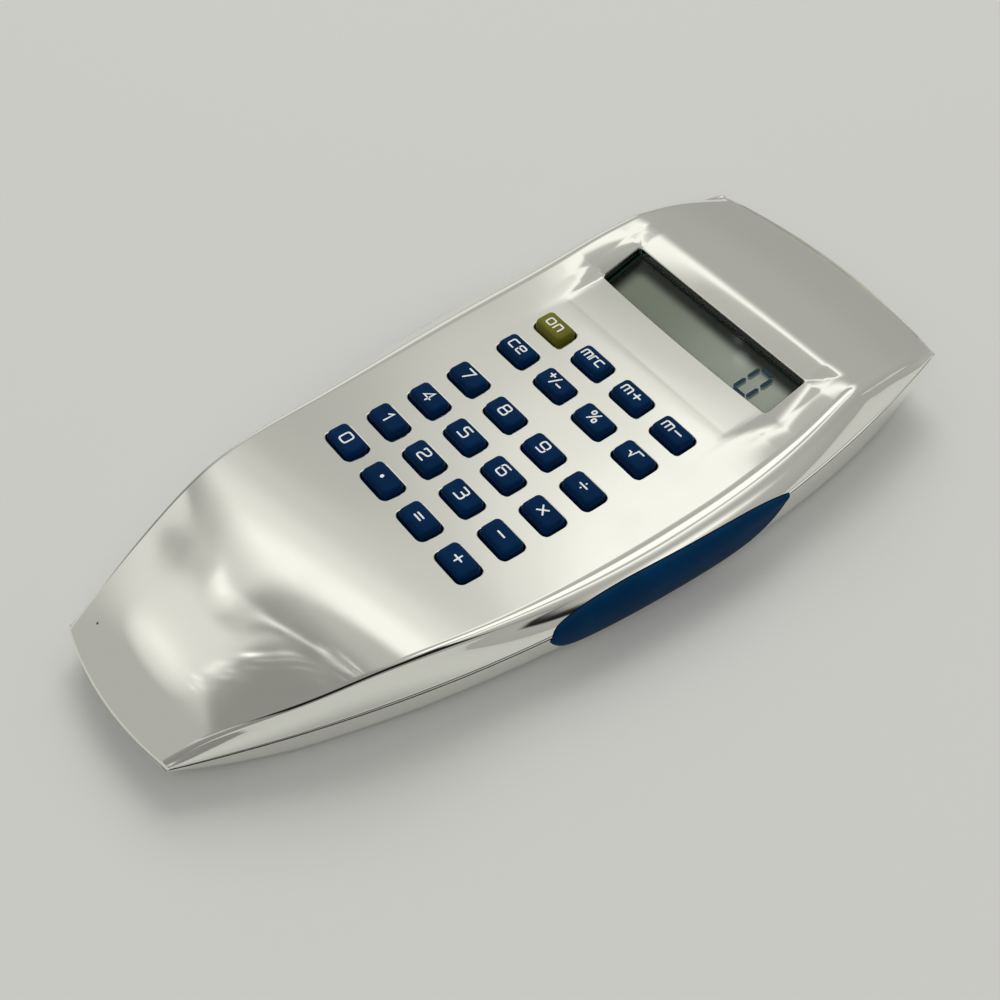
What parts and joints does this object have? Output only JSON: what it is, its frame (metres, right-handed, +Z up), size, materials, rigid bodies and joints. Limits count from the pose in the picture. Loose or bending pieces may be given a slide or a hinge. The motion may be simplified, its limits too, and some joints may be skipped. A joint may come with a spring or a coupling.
{
  "type": "pocket calculator",
  "caption": "Boat-shaped pocket calculator: mirror metal case with side grips, a grid of navy push keys and a tilted display window in a shallow dish.",
  "frame": {"origin": "on the resting surface, under the middle of the case", "axes": "+Z up, +Y along the case towards the display, +X to the right of the user"},
  "size_m": [0.068, 0.146, 0.0159],
  "materials": {
    "silver_plate": "mirror-polished silver plate",
    "grip_rubber": "satin navy rubber",
    "mat_rubber": "matt silicone",
    "black_foam": "black adhesive frame",
    "clear_lens": "clear acrylic with a faint green edge",
    "lcd_glass": "grey-green liquid crystal panel",
    "reflector_film": "grey reflector",
    "black_plastic": "moulded black plastic",
    "zebra_rubber": "striped elastomer",
    "board_laminate": "green laminate",
    "black_epoxy": "black epoxy blob",
    "chip_ceramic": "chip resistors",
    "can_aluminium": "aluminium can",
    "cell_steel": "nickel-plated steel",
    "contact_metal": "gold-flashed spring contact",
    "screw_steel": "plated steel",
    "foot_rubber": "black rubber",
    "key_navy": "satin navy plastic",
    "key_olive": "satin olive plastic"
  },
  "bodies": {
    "case": {"top_shell": "silver_plate", "bottom_shell": "silver_plate", "grip_left": "grip_rubber", "grip_right": "grip_rubber", "key_mat": "mat_rubber", "lens_gasket": "black_foam", "display_lens": "clear_lens", "lcd_glass": "lcd_glass", "lcd_reflector": "reflector_film", "lcd_frame": "black_plastic", "lcd_backing": "black_plastic", "connector_strip": "zebra_rubber", "circuit_board": "board_laminate", "controller_chip": "black_epoxy", "chip_resistors": "chip_ceramic", "board_capacitors": "can_aluminium", "coin_cell": "cell_steel", "battery_tray": "black_plastic", "battery_contact_plus": "contact_metal", "battery_contact_minus": "contact_metal", "case_screws": "screw_steel", "board_screws": "screw_steel", "rubber_feet": "foot_rubber"},
    "key_0": {"key_0": "key_navy"},
    "key_point": {"key_point": "key_navy"},
    "key_equals": {"key_equals": "key_navy"},
    "key_plus": {"key_plus": "key_navy"},
    "key_1": {"key_1": "key_navy"},
    "key_2": {"key_2": "key_navy"},
    "key_3": {"key_3": "key_navy"},
    "key_minus": {"key_minus": "key_navy"},
    "key_4": {"key_4": "key_navy"},
    "key_5": {"key_5": "key_navy"},
    "key_6": {"key_6": "key_navy"},
    "key_times": {"key_times": "key_navy"},
    "key_7": {"key_7": "key_navy"},
    "key_8": {"key_8": "key_navy"},
    "key_9": {"key_9": "key_navy"},
    "key_divide": {"key_divide": "key_navy"},
    "key_ce": {"key_ce": "key_navy"},
    "key_sign": {"key_sign": "key_navy"},
    "key_percent": {"key_percent": "key_navy"},
    "key_root": {"key_root": "key_navy"},
    "key_on": {"key_on": "key_olive"},
    "key_mrc": {"key_mrc": "key_navy"},
    "key_m_plus": {"key_m_plus": "key_navy"},
    "key_m_minus": {"key_m_minus": "key_navy"},
    "battery_cover": {"battery_cover": "silver_plate"}
  },
  "joints": [
    {"name": "key_0_press", "type": "slide", "parent": "case", "child": "key_0", "axis": [0, 0, -1], "range_m": [0, 0.0008], "stiffness_N_per_m": 700, "springref_m": -0.0003, "deforming": ["key_mat"]},
    {"name": "key_point_press", "type": "slide", "parent": "case", "child": "key_point", "axis": [0, 0, -1], "range_m": [0, 0.0008], "stiffness_N_per_m": 700, "springref_m": -0.0003, "deforming": ["key_mat"]},
    {"name": "key_equals_press", "type": "slide", "parent": "case", "child": "key_equals", "axis": [0, 0, -1], "range_m": [0, 0.0008], "stiffness_N_per_m": 700, "springref_m": -0.0003, "deforming": ["key_mat"]},
    {"name": "key_plus_press", "type": "slide", "parent": "case", "child": "key_plus", "axis": [0, 0, -1], "range_m": [0, 0.0008], "stiffness_N_per_m": 700, "springref_m": -0.0003, "deforming": ["key_mat"]},
    {"name": "key_1_press", "type": "slide", "parent": "case", "child": "key_1", "axis": [0, 0, -1], "range_m": [0, 0.0008], "stiffness_N_per_m": 700, "springref_m": -0.0003, "deforming": ["key_mat"]},
    {"name": "key_2_press", "type": "slide", "parent": "case", "child": "key_2", "axis": [0, 0, -1], "range_m": [0, 0.0008], "stiffness_N_per_m": 700, "springref_m": -0.0003, "deforming": ["key_mat"]},
    {"name": "key_3_press", "type": "slide", "parent": "case", "child": "key_3", "axis": [0, 0, -1], "range_m": [0, 0.0008], "stiffness_N_per_m": 700, "springref_m": -0.0003, "deforming": ["key_mat"]},
    {"name": "key_minus_press", "type": "slide", "parent": "case", "child": "key_minus", "axis": [0, 0, -1], "range_m": [0, 0.0008], "stiffness_N_per_m": 700, "springref_m": -0.0003, "deforming": ["key_mat"]},
    {"name": "key_4_press", "type": "slide", "parent": "case", "child": "key_4", "axis": [0, 0, -1], "range_m": [0, 0.0008], "stiffness_N_per_m": 700, "springref_m": -0.0003, "deforming": ["key_mat"]},
    {"name": "key_5_press", "type": "slide", "parent": "case", "child": "key_5", "axis": [0, 0, -1], "range_m": [0, 0.0008], "stiffness_N_per_m": 700, "springref_m": -0.0003, "deforming": ["key_mat"]},
    {"name": "key_6_press", "type": "slide", "parent": "case", "child": "key_6", "axis": [0, 0, -1], "range_m": [0, 0.0008], "stiffness_N_per_m": 700, "springref_m": -0.0003, "deforming": ["key_mat"]},
    {"name": "key_times_press", "type": "slide", "parent": "case", "child": "key_times", "axis": [0, 0, -1], "range_m": [0, 0.0008], "stiffness_N_per_m": 700, "springref_m": -0.0003, "deforming": ["key_mat"]},
    {"name": "key_7_press", "type": "slide", "parent": "case", "child": "key_7", "axis": [0, 0, -1], "range_m": [0, 0.0008], "stiffness_N_per_m": 700, "springref_m": -0.0003, "deforming": ["key_mat"]},
    {"name": "key_8_press", "type": "slide", "parent": "case", "child": "key_8", "axis": [0, 0, -1], "range_m": [0, 0.0008], "stiffness_N_per_m": 700, "springref_m": -0.0003, "deforming": ["key_mat"]},
    {"name": "key_9_press", "type": "slide", "parent": "case", "child": "key_9", "axis": [0, 0, -1], "range_m": [0, 0.0008], "stiffness_N_per_m": 700, "springref_m": -0.0003, "deforming": ["key_mat"]},
    {"name": "key_divide_press", "type": "slide", "parent": "case", "child": "key_divide", "axis": [0, 0, -1], "range_m": [0, 0.0008], "stiffness_N_per_m": 700, "springref_m": -0.0003, "deforming": ["key_mat"]},
    {"name": "key_ce_press", "type": "slide", "parent": "case", "child": "key_ce", "axis": [0, 0, -1], "range_m": [0, 0.0008], "stiffness_N_per_m": 700, "springref_m": -0.0003, "deforming": ["key_mat"]},
    {"name": "key_sign_press", "type": "slide", "parent": "case", "child": "key_sign", "axis": [0, 0, -1], "range_m": [0, 0.0008], "stiffness_N_per_m": 700, "springref_m": -0.0003, "deforming": ["key_mat"]},
    {"name": "key_percent_press", "type": "slide", "parent": "case", "child": "key_percent", "axis": [0, 0, -1], "range_m": [0, 0.0008], "stiffness_N_per_m": 700, "springref_m": -0.0003, "deforming": ["key_mat"]},
    {"name": "key_root_press", "type": "slide", "parent": "case", "child": "key_root", "axis": [0, 0, -1], "range_m": [0, 0.0008], "stiffness_N_per_m": 700, "springref_m": -0.0003, "deforming": ["key_mat"]},
    {"name": "key_on_press", "type": "slide", "parent": "case", "child": "key_on", "axis": [0, 0, -1], "range_m": [0, 0.0008], "stiffness_N_per_m": 700, "springref_m": -0.0003, "deforming": ["key_mat"]},
    {"name": "key_mrc_press", "type": "slide", "parent": "case", "child": "key_mrc", "axis": [0, 0, -1], "range_m": [0, 0.0008], "stiffness_N_per_m": 700, "springref_m": -0.0003, "deforming": ["key_mat"]},
    {"name": "key_m_plus_press", "type": "slide", "parent": "case", "child": "key_m_plus", "axis": [0, 0, -1], "range_m": [0, 0.0008], "stiffness_N_per_m": 700, "springref_m": -0.0003, "deforming": ["key_mat"]},
    {"name": "key_m_minus_press", "type": "slide", "parent": "case", "child": "key_m_minus", "axis": [0, 0, -1], "range_m": [0, 0.0008], "stiffness_N_per_m": 700, "springref_m": -0.0003, "deforming": ["key_mat"]},
    {"name": "cover_turn", "type": "hinge", "parent": "case", "child": "battery_cover", "pos_m": [0, 0.034, 0.001], "axis": [0, 0, 1], "range_deg": [0, 45]}
  ]
}
